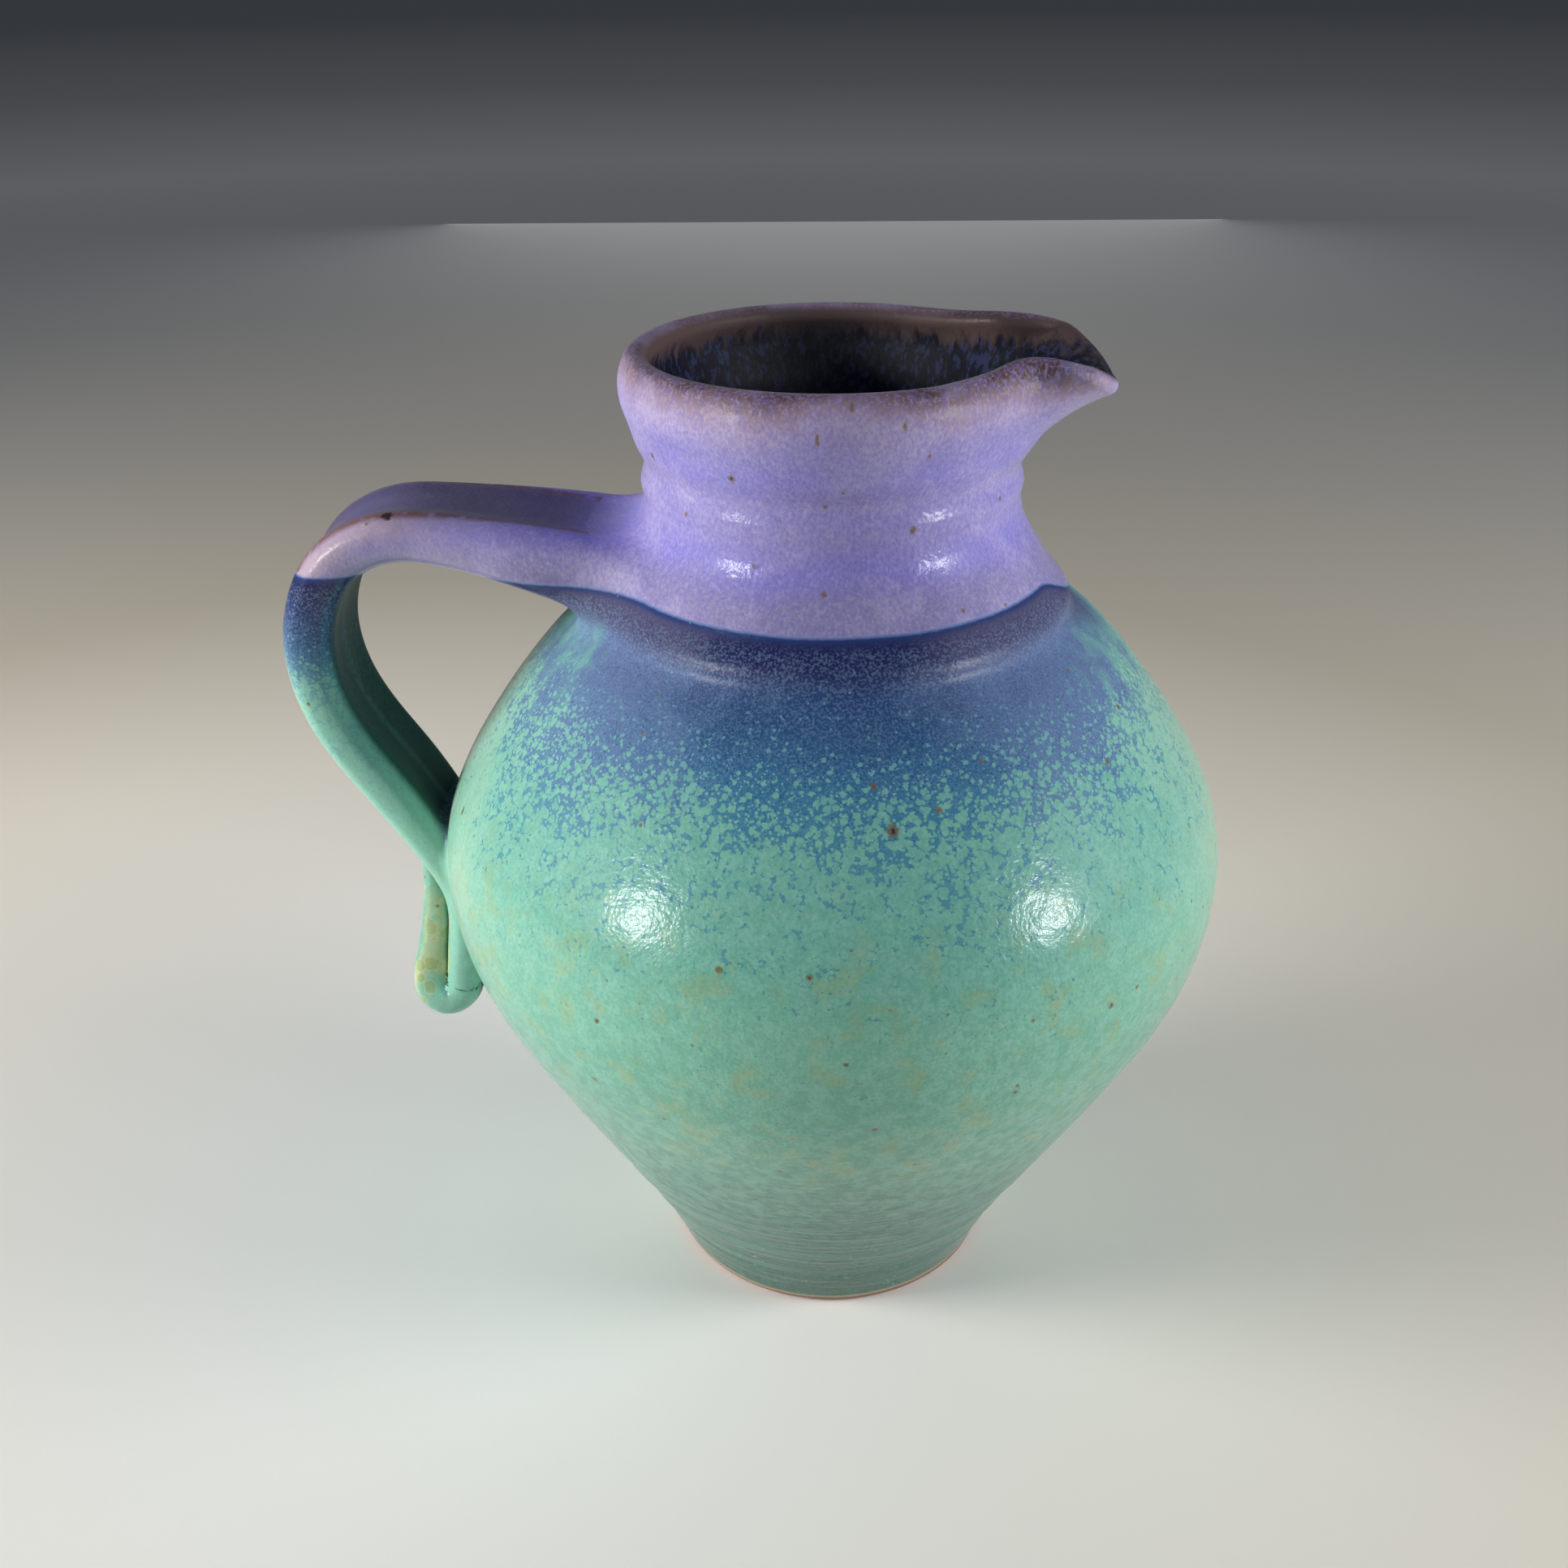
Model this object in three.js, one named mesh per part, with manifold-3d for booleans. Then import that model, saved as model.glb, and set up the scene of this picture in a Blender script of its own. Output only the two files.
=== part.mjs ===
// A stoneware pitcher: a thrown belly, a thrown collar neck with a pulled spout, and a pulled
// strap handle whose end folds outward and back up on itself. Clay coils lute the joints.
// Millimetres, +Z up. The origin is the centre of the flat foot; the spout points along +X
// and the handle along -X.

import * as THREE from 'three';
import { ParametricGeometry } from 'three/addons/geometries/ParametricGeometry.js';
import { mergeVertices } from 'three/addons/utils/BufferGeometryUtils.js';
import Module from 'manifold-3d';

const wasm = await Module();
wasm.setup();

// ---- Driving dimensions ----
const LIP_HEIGHT = 240;
const WALL = 6;
const FLOOR = 8;
const GAP = 0.3; // kept between neighbouring pieces
const FOOT_RADIUS = 42;
const BELLY_RADIUS = 94;
const BELLY_HEIGHT = 118;
const SEAM_HEIGHT = 181; // top of the belly
const SEAM_RADIUS = 55;
const COIL_HEIGHT = 3.2;
const COIL_ROUNDING = 1.2; // height of the flat on the coil's rounded edge
const NECK_START = SEAM_HEIGHT + COIL_HEIGHT;
const THROAT_RADIUS = 42.3;
const THROAT_HEIGHT = 207;
const NECK_WALL = 5.6;
const TIP_WALL = 3.8;
const MOUTH_RADIUS = 45.2; // outside of the wall where the lip starts to round
const LIP_EDGE = LIP_HEIGHT - NECK_WALL / 2; // height where the lip starts to round
const SPOUT_REACH = 62.6; // from the axis to the tip
const SPOUT_HALF_ANGLE = THREE.MathUtils.degToRad(60);
const STRAP_WIDTH = 31;
const STRAP_THICKNESS = 12;
const STRAP_END_THICKNESS = 10.4;
const ROOT_SPREAD = 6; // the strap swells by this each side where it leaves the neck
const TAIL_WIDTH = 23;
const TAIL_THICKNESS = 7;
const TAIL_TIP_NARROWING = 3; // each side, towards the tail's tip
const TAIL_TIP_THINNING = 1.4; // each face, towards the tail's tip
const BEAD = 3; // clay worked in round the strap where it meets the pot
const SMALLEST_BEAD = 50; // cubic millimetres; smaller scraps of the cut are dropped

const TURN = 2 * Math.PI;
const COLUMNS = 48; // facets round the turned pieces
const BELLY_STEPS = 22; // rows up the belly's skin
const NECK_STEPS = 10; // rows up the neck's skin

// ---- Shared helpers ----

// Merges a geometry's shared points, drops its flat triangles and turns its faces outward.
function closed(geometry) {
  geometry.deleteAttribute('normal');
  geometry.deleteAttribute('uv');
  const merged = mergeVertices(geometry, 1e-3);
  const position = merged.attributes.position;
  const corners = [0, 1, 2].map(() => new THREE.Vector3());
  const kept = [];
  let volume = 0;
  for (let i = 0; i < merged.index.count; i += 3) {
    const [a, b, c] = [0, 1, 2].map((k) => merged.index.getX(i + k));
    if (a === b || b === c || c === a) continue;
    [a, b, c].forEach((id, k) => corners[k].fromBufferAttribute(position, id));
    volume += corners[0].dot(corners[1].cross(corners[2]));
    kept.push([a, b, c]);
  }
  merged.setIndex(kept.flatMap(([a, b, c]) => (volume > 0 ? [a, b, c] : [a, c, b])));
  return merged;
}

function solidOf(geometry) {
  return new wasm.Manifold(new wasm.Mesh({
    numProp: 3,
    vertProperties: new Float32Array(geometry.attributes.position.array),
    triVerts: new Uint32Array(geometry.index.array),
  }));
}

// The biggest body that is left after a cut, as a geometry.
function geometryOf(solid) {
  const bodies = solid.decompose();
  bodies.sort((a, b) => b.volume() - a.volume());
  const { vertProperties, triVerts } = bodies[0].getMesh();
  const geometry = new THREE.BufferGeometry();
  geometry.setAttribute('position', new THREE.BufferAttribute(vertProperties, 3));
  geometry.setIndex(new THREE.BufferAttribute(triVerts, 1));
  return geometry;
}

// A smooth outline through a few (radius, height) points.
function outline(points, steps) {
  return new THREE.SplineCurve(points.map(([r, z]) => new THREE.Vector2(r, z))).getPoints(steps);
}

// The same outline moved sideways; a positive distance is away from the axis on a rising outline.
function moved(points, distance) {
  return points.map((point, i) => {
    const along = points[Math.min(i + 1, points.length - 1)].clone();
    along.sub(points[Math.max(i - 1, 0)]).normalize();
    return new THREE.Vector2(point.x + along.y * distance, point.y - along.x * distance);
  });
}

// Turns a (radius, height) outline round the Z axis.
function turned(points) {
  const geometry = new THREE.LatheGeometry(points, COLUMNS);
  geometry.rotateX(Math.PI / 2);
  return closed(geometry);
}

// ---- Outlines of the thrown pieces ----
const bellySkin = outline([
  [FOOT_RADIUS, 0],
  [50.2, 20],
  [64.7, 46],
  [82.1, 78],
  [BELLY_RADIUS - 1.8, BELLY_HEIGHT - 16],
  [BELLY_RADIUS - 0.8, BELLY_HEIGHT + 9],
  [83.7, 148],
  [70.7, 166],
  [SEAM_RADIUS, SEAM_HEIGHT],
], BELLY_STEPS);

const neckSkin = new THREE.SplineCurve([
  [SEAM_RADIUS - 0.2, NECK_START],
  [48.1, 193],
  [THROAT_RADIUS + 0.9, 200],
  [THROAT_RADIUS, THROAT_HEIGHT],
  [43.6, 217],
  [45.8, 226],
  [46.8, 231],
  [46.4, 234.5],
  [MOUTH_RADIUS, LIP_EDGE],
].map(([r, z]) => new THREE.Vector2(r, z)));

// The whole pot as one solid out to its skin, grown by a distance: it trims the clay that is
// pressed on to the pot.
function potEnvelope(growth) {
  const skin = moved([...bellySkin, ...neckSkin.getPoints(NECK_STEPS)], growth);
  const bottom = new THREE.Vector2(0, skin[0].y);
  const top = new THREE.Vector2(0, skin[skin.length - 1].y);
  return solidOf(turned([bottom, ...skin, top]));
}

// ---- Belly: floor, foot and wall in one thrown piece ----
function belly() {
  const cove = 7; // the inside curves from wall to floor over this width
  const rim = 2; // the top edge is wider than the wall by this
  const inside = moved(bellySkin, -WALL)
    .filter((point) => point.y > FLOOR + cove && point.y < SEAM_HEIGHT - 2 * rim)
    .reverse();
  const wallFoot = inside[inside.length - 1].x;
  return turned([
    new THREE.Vector2(0, 0),
    ...bellySkin,
    new THREE.Vector2(SEAM_RADIUS - WALL - rim, SEAM_HEIGHT),
    ...inside,
    new THREE.Vector2(wallFoot - cove / 3, FLOOR + cove / 3),
    new THREE.Vector2(wallFoot - cove, FLOOR),
    new THREE.Vector2(0, FLOOR),
  ]);
}

// ---- Coil that lutes the neck to the belly: a low ring with a rounded outer edge ----
function neckLutingCoil() {
  const inner = SEAM_RADIUS - WALL - 1.6;
  const outer = SEAM_RADIUS - 0.3;
  const corner = 0.7; // how far the edge falls back above and below its flat
  const low = SEAM_HEIGHT + GAP;
  const high = NECK_START - GAP;
  const middle = (low + high) / 2;
  return turned([
    new THREE.Vector2(inner, low),
    new THREE.Vector2(outer - corner, low),
    new THREE.Vector2(outer, middle - COIL_ROUNDING / 2),
    new THREE.Vector2(outer, middle + COIL_ROUNDING / 2),
    new THREE.Vector2(outer - corner, high),
    new THREE.Vector2(inner, high),
    new THREE.Vector2(inner, low),
  ]);
}

// ---- Neck: the thrown collar, its lip pulled into a pinched, drooping spout ----

// Where the lip starts to round, at an azimuth of the round mouth.
function mouthEdge(azimuth) {
  return new THREE.Vector3(
    MOUTH_RADIUS * Math.cos(azimuth),
    MOUTH_RADIUS * Math.sin(azimuth),
    LIP_EDGE,
  );
}

// The same edge along one side of the spout: out of the tip, round the flared end, in to the
// pinch and back to the round mouth. Each point is (x, y, fall below the mouth's edge).
const spoutEdge = new THREE.CatmullRomCurve3([
  [SPOUT_REACH - TIP_WALL / 2, 0, 8.7],
  [59.2, 9.5, 7.2],
  [56.4, 17.8, 4.6],
  [51.8, 23, 1.2],
  [46, 23.2, -1.4],
  [40.4, 24, -2.3],
  [34, 30, -1.2],
].map(([x, y, fall]) => new THREE.Vector3(x, y, LIP_EDGE - fall))
  .concat(mouthEdge(SPOUT_HALF_ANGLE)));

// How far the lip is pulled away from the round mouth at an azimuth.
function pull(azimuth) {
  const share = Math.abs(azimuth) / SPOUT_HALF_ANGLE;
  if (share >= 1) return new THREE.Vector3();
  const edge = spoutEdge.getPointAt(share);
  if (azimuth < 0) edge.y *= -1;
  return edge.sub(mouthEdge(azimuth));
}

// A point on the outside of the neck: share 0 is the seam and 1 is where the lip starts to round.
function neckPoint(azimuth, share) {
  const { x: radius, y: height } = neckSkin.getPoint(share);
  const rise = (height - THROAT_HEIGHT) / (LIP_EDGE - THROAT_HEIGHT);
  const lift = THREE.MathUtils.clamp(rise, 0, 1);
  const shift = pull(azimuth);
  return new THREE.Vector3(
    radius * Math.cos(azimuth) + shift.x * lift ** 4,
    radius * Math.sin(azimuth) + shift.y * lift ** 4,
    height + shift.z * lift ** 2,
  );
}

function neck() {
  const skinRows = NECK_STEPS;
  const lipRows = 4;
  const columns = 56;
  const crowding = 0.45; // how strongly the columns crowd towards the spout
  const step = 0.01; // between the places that give the skin's slope
  const rows = 2 * skinRows + lipRows + 1;
  const place = (u, v, target) => {
    const turn = TURN * (u - 0.5);
    const azimuth = turn - crowding * Math.sin(turn);
    const row = Math.round(v * rows) % rows;
    const beyond = THREE.MathUtils.clamp((row - skinRows) / lipRows, 0, 1);
    const share = Math.min(row, rows - 1 - row, skinRows) / skinRows;
    const skin = neckPoint(azimuth, share);
    const up = neckPoint(azimuth, Math.min(share + step, 1));
    up.sub(neckPoint(azimuth, Math.max(share - step, 0))).normalize();
    const round = neckPoint(azimuth + step, share).sub(neckPoint(azimuth - step, share));
    const out = round.cross(up).normalize();
    const thinning = Math.max(0, 1 - Math.abs(azimuth) / SPOUT_HALF_ANGLE) * share ** 2;
    const wall = THREE.MathUtils.lerp(NECK_WALL, TIP_WALL, thinning);
    const angle = Math.PI * beyond;
    target.copy(skin);
    target.addScaledVector(out, (wall / 2) * (Math.cos(angle) - 1));
    target.addScaledVector(up, (wall / 2) * Math.sin(angle));
    target.z = Math.max(target.z, NECK_START);
  };
  return closed(new ParametricGeometry(place, columns, rows));
}

// ---- Handle and tail: a section swept along a path in the plane y = 0 ----

// Half sizes are functions of the share of the way along; `valley` sinks the outer face's middle.
function swept({ path, halfWidth, halfThickness, valley = 0, rows, columns = 20 }) {
  const edgeRoundness = 0.75; // 1 is an ellipse; smaller is boxier
  const faceRoundness = 0.8;
  const valleyWidth = 0.35; // as a share of the half width
  const curve = new THREE.CatmullRomCurve3(
    path.map(([radial, height]) => new THREE.Vector3(-radial, 0, height)),
  );
  const place = (u, v, target) => {
    const row = Math.round(v * (rows + 2));
    const share = THREE.MathUtils.clamp((row - 1) / rows, 0, 1);
    target.copy(curve.getPointAt(share));
    if (row === 0 || row === rows + 2) return;
    const tangent = curve.getTangentAt(share);
    const outward = new THREE.Vector3(-tangent.z, 0, tangent.x).negate();
    const [c, s] = [Math.cos(TURN * u), Math.sin(TURN * u)];
    const across = Math.sign(c) * Math.abs(c) ** edgeRoundness;
    const through = Math.sign(s) * Math.abs(s) ** faceRoundness;
    const sink = s > 0 ? valley * Math.exp(-((across / valleyWidth) ** 2)) : 0;
    target.y += across * halfWidth(share);
    target.addScaledVector(outward, through * halfThickness(share) - sink);
  };
  return closed(new ParametricGeometry(place, columns, rows + 2));
}

// Fades from 1 at the start of a sweep to 0 at the given share.
function fade(share, end) {
  return 1 - THREE.MathUtils.smoothstep(share, 0, end);
}

// The strap leaves the neck level, bends over a corner, and runs down on to the belly.
const STRAP_PATH = [
  [40, 187],
  [50, 190.5],
  [62, 193.5],
  [76, 196.4],
  [90, 198.4],
  [100, 198.6],
  [109.3, 195],
  [116, 187.8],
  [120, 178],
  [120.9, 168],
  [118.7, 156.5],
  [113, 144.6],
  [105.2, 132.6],
  [97.8, 120],
  [93, 110],
  [91.3, 101],
  [92.2, 91],
  [93.4, 81],
];

function strap(growth) {
  const thin = (STRAP_THICKNESS - STRAP_END_THICKNESS) / 2;
  const spread = (share) => ROOT_SPREAD * fade(share, 0.3);
  const narrowing = (share) => thin * THREE.MathUtils.smoothstep(share, 0.7, 0.9);
  return solidOf(swept({
    path: STRAP_PATH,
    halfWidth: (share) => STRAP_WIDTH / 2 + growth + spread(share),
    halfThickness: (share) => STRAP_THICKNESS / 2 + growth + spread(share) / 2 - narrowing(share),
    valley: 1.2,
    rows: 32,
  }));
}

// The strap's end turns outward under the strap and lies back up against it.
const TAIL_PATH = [
  [93.5, 81 - GAP],
  [94.8, 76.6],
  [98, 74.6],
  [101.3, 76.6],
  [102.1, 81.5],
  [101.3, 88],
  [100, 95],
  [99.2, 103],
  [99.7, 110],
  [100.8, 116],
  [102, 119.5],
];

function tail(growth) {
  const wide = (STRAP_WIDTH - TAIL_WIDTH) / 2;
  const thick = (STRAP_END_THICKNESS - TAIL_THICKNESS) / 2;
  const tip = (share) => THREE.MathUtils.smoothstep(share, 0.7, 1);
  const halfWidth = (share) => (
    TAIL_WIDTH / 2 + growth + wide * fade(share, 0.3) - TAIL_TIP_NARROWING * tip(share)
  );
  const halfThickness = (share) => (
    TAIL_THICKNESS / 2 + growth + thick * fade(share, 0.3) - TAIL_TIP_THINNING * tip(share)
  );
  return solidOf(swept({
    path: TAIL_PATH,
    halfWidth,
    halfThickness,
    rows: 20,
    columns: 16,
  }));
}

// ---- Coils that lute the handle: a bead round each end of the strap, against the pot ----
const pot = potEnvelope(GAP);
const grownStrap = strap(GAP);
const [topBead, bottomBead] = strap(BEAD)
  .intersect(potEnvelope(BEAD))
  .subtract(grownStrap)
  .subtract(tail(GAP))
  .subtract(pot)
  .decompose()
  .filter((bead) => bead.volume() > SMALLEST_BEAD)
  .sort((a, b) => b.boundingBox().max[2] - a.boundingBox().max[2]);

// ---- The pitcher ----
const glaze = (color, roughness) => new THREE.MeshStandardMaterial({
  color,
  roughness,
  metalness: 0,
});

const pieces = {
  belly: [belly(), glaze(0x63b39a, 0.42)],
  neck_luting_coil: [neckLutingCoil(), glaze(0x2f3a78, 0.42)],
  neck: [neck(), glaze(0xa79bd6, 0.45)],
  handle: [geometryOf(strap(0).subtract(pot)), glaze(0x5f8fa8, 0.42)],
  handle_tail: [geometryOf(tail(0).subtract(grownStrap).subtract(pot)), glaze(0x6fb58f, 0.45)],
  handle_top_coil: [geometryOf(topBead), glaze(0x9c90c8, 0.45)],
  handle_bottom_coil: [geometryOf(bottomBead), glaze(0x4f9f9a, 0.42)],
};

const pitcher = new THREE.Group();
pitcher.name = 'pitcher';
for (const [name, [geometry, material]] of Object.entries(pieces)) {
  const mesh = new THREE.Mesh(geometry, material);
  mesh.name = name;
  pitcher.add(mesh);
}

export default pitcher;
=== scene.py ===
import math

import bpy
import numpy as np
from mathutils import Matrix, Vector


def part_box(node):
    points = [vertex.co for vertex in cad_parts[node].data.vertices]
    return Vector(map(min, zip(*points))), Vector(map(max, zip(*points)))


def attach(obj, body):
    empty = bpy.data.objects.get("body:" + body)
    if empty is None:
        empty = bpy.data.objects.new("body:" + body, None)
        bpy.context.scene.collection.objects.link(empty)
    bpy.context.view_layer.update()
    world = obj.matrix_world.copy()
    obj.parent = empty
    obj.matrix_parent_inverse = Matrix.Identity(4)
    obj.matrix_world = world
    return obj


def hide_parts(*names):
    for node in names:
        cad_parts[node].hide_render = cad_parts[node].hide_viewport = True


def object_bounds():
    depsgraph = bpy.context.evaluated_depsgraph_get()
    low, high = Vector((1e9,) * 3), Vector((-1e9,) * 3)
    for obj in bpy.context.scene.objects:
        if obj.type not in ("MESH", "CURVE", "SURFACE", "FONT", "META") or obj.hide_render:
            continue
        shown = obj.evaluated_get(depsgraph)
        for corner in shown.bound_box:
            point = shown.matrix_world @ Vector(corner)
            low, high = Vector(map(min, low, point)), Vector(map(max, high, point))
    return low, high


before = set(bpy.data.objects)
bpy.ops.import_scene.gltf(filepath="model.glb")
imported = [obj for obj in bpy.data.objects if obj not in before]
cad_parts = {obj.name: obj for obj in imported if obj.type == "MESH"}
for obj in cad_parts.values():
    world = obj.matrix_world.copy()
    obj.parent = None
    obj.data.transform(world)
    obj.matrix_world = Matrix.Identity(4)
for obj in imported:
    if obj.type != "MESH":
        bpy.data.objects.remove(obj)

# A thrown stoneware pitcher in dipped glazes: lavender over the neck, a navy overlap at the
# shoulder that breaks into turquoise flakes, and mottled green down to the bare foot.
# Everything is drawn in millimetres and scaled to the frame's metres when a mesh is made.

import openvdb
from mathutils import Matrix, Vector

cad_low, cad_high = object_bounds()
belly_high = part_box("belly")[1]
neck_low, neck_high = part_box("neck")

SEAM = 181.0  # height of the belly's top edge in millimetres
MM = belly_high.z / SEAM  # one drawn millimetre in the frame's metres
NECK_START = neck_low.z / MM
LIP_HEIGHT = 240.0
NECK_WALL = 5.6
TIP_WALL = 3.8
LIP_EDGE = LIP_HEIGHT - NECK_WALL / 2  # where the lip starts to round
THROAT_HEIGHT = 207.0
MOUTH_RADIUS = 45.2
SPOUT_REACH = neck_high.x / MM
SPOUT_HALF_ANGLE = math.radians(60)
SPOUT_CROWDING = 0.45  # how much closer together the mesh's columns stand at the spout
BELLY_WALL = 6.0
COIL_WALL = BELLY_WALL + 0.4
FLOOR_THICKNESS = 8.0
FLOOR_COVE = 3.0  # the rounded corner between floor and wall
FOOT_RADIUS = 42.0
FOOT_EDGE = 0.8  # the foot's rounded edge
FOOT_BAND = 5.0  # the flat ring that the pot stands on
ROWS = 170  # mesh rows up the outside of the pot
COLUMNS = 240  # mesh columns round it
CURVE_FINENESS = 12  # fine steps for each step of a finished curve


# ---- Curves and meshes ----

def smooth_curve(points, count):
    """count + 1 evenly spaced places on a natural cubic curve through the points."""
    points = np.asarray(points, float)
    chord = np.linalg.norm(np.diff(points, axis=0), axis=1)
    knots = np.concatenate([[0], np.cumsum(np.sqrt(chord))])
    step = np.diff(knots)
    size = len(points)
    system = np.eye(size)
    bend = np.zeros_like(points)
    slope = np.diff(points, axis=0) / step[:, None]
    for i in range(1, size - 1):
        system[i, i - 1:i + 2] = step[i - 1], 2 * (step[i - 1] + step[i]), step[i]
        bend[i] = 6 * (slope[i] - slope[i - 1])
    second = np.linalg.solve(system, bend)
    fine = np.linspace(0, knots[-1], CURVE_FINENESS * count + 1)
    span = np.clip(np.searchsorted(knots, fine, side="right") - 1, 0, size - 2)
    left = (knots[span + 1] - fine)[:, None]
    right = (fine - knots[span])[:, None]
    width = step[span][:, None]
    curve = (second[span] * left ** 3 + second[span + 1] * right ** 3) / (6 * width)
    curve += (points[span] / width - second[span] * width / 6) * left
    curve += (points[span + 1] / width - second[span + 1] * width / 6) * right
    return evenly(curve, count)


def evenly(curve, count):
    """count + 1 evenly spaced places along a finely drawn line."""
    run = np.concatenate([[0], np.cumsum(np.linalg.norm(np.diff(curve, axis=0), axis=1))])
    places = np.linspace(0, run[-1], count + 1)
    return np.stack([np.interp(places, run, axis) for axis in curve.T], axis=1)


def unit(vectors):
    """The same directions, each one long."""
    return vectors / np.maximum(np.linalg.norm(vectors, axis=-1, keepdims=True), 1e-12)


def ease(value, start, end):
    """A smooth step from 0 at start to 1 at end."""
    share = np.clip((value - start) / (end - start), 0, 1)
    return share * share * (3 - 2 * share)


def make_piece(name, vertices, faces, normals, material, marks=None):
    """A mesh object from drawn millimetres, with its own shading normals and vertex marks."""
    mesh = bpy.data.meshes.new(name)
    mesh.from_pydata((np.asarray(vertices) * MM).tolist(), [], faces)
    mesh.validate()
    mesh.polygons.foreach_set("use_smooth", [True] * len(mesh.polygons))
    for mark, values in (marks or {}).items():
        layer = mesh.attributes.new(mark, "FLOAT", "POINT")
        layer.data.foreach_set("value", np.asarray(values, np.float32))
    mesh.normals_split_custom_set_from_vertices(unit(np.asarray(normals)).tolist())
    mesh.materials.append(material)
    piece = bpy.data.objects.new(name, mesh)
    bpy.context.scene.collection.objects.link(piece)
    return piece


def finish_piece(piece, node):
    """Puts a fine piece in the place of its CAD node."""
    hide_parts(node)
    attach(piece, "root")


# ---- The pot's outline: foot, belly, the step at the seam, and the neck ----
# Each place is (radius, height).
POT_OUTLINE = [
    (FOOT_RADIUS, 1.0), (45.6, 10), (50.2, 20), (64.7, 46), (82.1, 78), (92.2, 102),
    (93.4, 127), (83.9, 148), (70.9, 166), (62.3, 175), (57.2, 179),
    (55.1, SEAM + 0.6), (54.9, NECK_START - 0.4),
    (51.6, 188), (47.9, 193.5), (44.0, 200), (42.6, 204.5), (42.3, 208), (42.2, 212.5),
    (43.2, 218), (45.8, 226), (46.8, 231), (46.4, 234.5), (MOUTH_RADIUS, LIP_EDGE),
]
# Ridges and grooves that the fingers left: (height, ridge, half width).
RINGS = [(207.3, -0.25, 1.4), (210.2, 0.65, 2.4), (214.8, -0.65, 2.6), (220, 0.2, 2.4),
         (228, 0.15, 2.5), (24, 0.25, 2.0), (30, -0.2, 2.2), (37, 0.2, 2.6), (12, 0.2, 1.8)]


def pot_skin(rows):
    """Evenly spaced places up the outside of the pot, as (radius, height), with its rings."""
    line = smooth_curve(POT_OUTLINE, rows)
    for height, ridge, half_width in RINGS:
        line[:, 0] += ridge * np.exp(-((line[:, 1] - height) / half_width) ** 2)
    return line


SPOUT_TIP = SPOUT_REACH - TIP_WALL / 2
# One side of the spout's edge, from its tip back: (forward, sideways, fall below the lip).
SPOUT_SIDE = [(SPOUT_TIP, 0, 8.7), (SPOUT_TIP - 0.9, 9.5, 7.2), (SPOUT_TIP - 3.7, 17.8, 4.6),
              (51.8, 23, 1.2), (46, 23.2, -1.4), (40.4, 24, -2.3), (34, 30, -1.2)]
SPOUT_STEPS = 120


def spout_edge():
    """One side of the spout's edge, from the tip in to the round mouth."""
    mouth = (
        MOUTH_RADIUS * math.cos(SPOUT_HALF_ANGLE),
        MOUTH_RADIUS * math.sin(SPOUT_HALF_ANGLE),
        LIP_EDGE,
    )
    side = [(x, y, LIP_EDGE - fall) for x, y, fall in SPOUT_SIDE]
    return smooth_curve(side + [mouth], SPOUT_STEPS)


SPOUT_EDGE = spout_edge()
SPOUT_SPREAD = 4  # how late in its rise the neck opens into the spout
SPOUT_DROOP = 2  # how late it starts to droop


def pull(azimuth):
    """How far the lip is pulled away from the round mouth, at each azimuth."""
    share = np.minimum(np.abs(azimuth) / SPOUT_HALF_ANGLE, 1) * (len(SPOUT_EDGE) - 1)
    places = np.arange(len(SPOUT_EDGE))
    edge = np.stack([np.interp(share, places, axis) for axis in SPOUT_EDGE.T], axis=-1)
    edge[..., 1] *= np.where(azimuth < 0, -1, 1)
    round_mouth = np.stack([
        MOUTH_RADIUS * np.cos(azimuth),
        MOUTH_RADIUS * np.sin(azimuth),
        np.full_like(azimuth, LIP_EDGE),
    ], axis=-1)
    away = edge - round_mouth
    away[np.abs(azimuth) >= SPOUT_HALF_ANGLE] = 0
    return away


def columns_round():
    """Azimuths once round the pot, crowded towards the spout."""
    turn = np.linspace(-math.pi, math.pi, COLUMNS, endpoint=False)
    return turn - SPOUT_CROWDING * np.sin(turn)


def wander(azimuth, height):
    """The hand-thrown pot is never quite round; the handle's side stays true for its joints."""
    free = ease(np.cos(azimuth), -0.9, -0.3)
    oval = 0.22 * np.sin(2 * azimuth + height / 31)
    lobes = 0.14 * np.sin(3 * azimuth - height / 23)
    return (oval + lobes) * free


def skin_grid(line, azimuth):
    """The outside of the pot as a grid of places, and which way it faces."""
    radius = line[:, :1] + wander(azimuth[None, :], line[:, 1:])
    height = np.repeat(line[:, 1:], len(azimuth), axis=1)
    lift = np.clip((height - THROAT_HEIGHT) / (LIP_EDGE - THROAT_HEIGHT), 0, 1)
    shift = pull(azimuth)[None]
    places = np.stack([
        radius * np.cos(azimuth) + shift[..., 0] * lift ** SPOUT_SPREAD,
        radius * np.sin(azimuth) + shift[..., 1] * lift ** SPOUT_SPREAD,
        height + shift[..., 2] * lift ** SPOUT_DROOP,
    ], axis=-1)
    upward = unit(np.gradient(places, axis=0))
    onward = np.roll(places, -1, axis=1) - np.roll(places, 1, axis=1)
    return places, unit(np.cross(onward, upward)), upward


def band(low, high, columns):
    """Quads between two rows of a grid that goes once round, from each row's first vertex."""
    faces = []
    for j in range(columns):
        k = (j + 1) % columns
        faces.append((low + j, low + k, high + k, high + j))
    return faces


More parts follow.
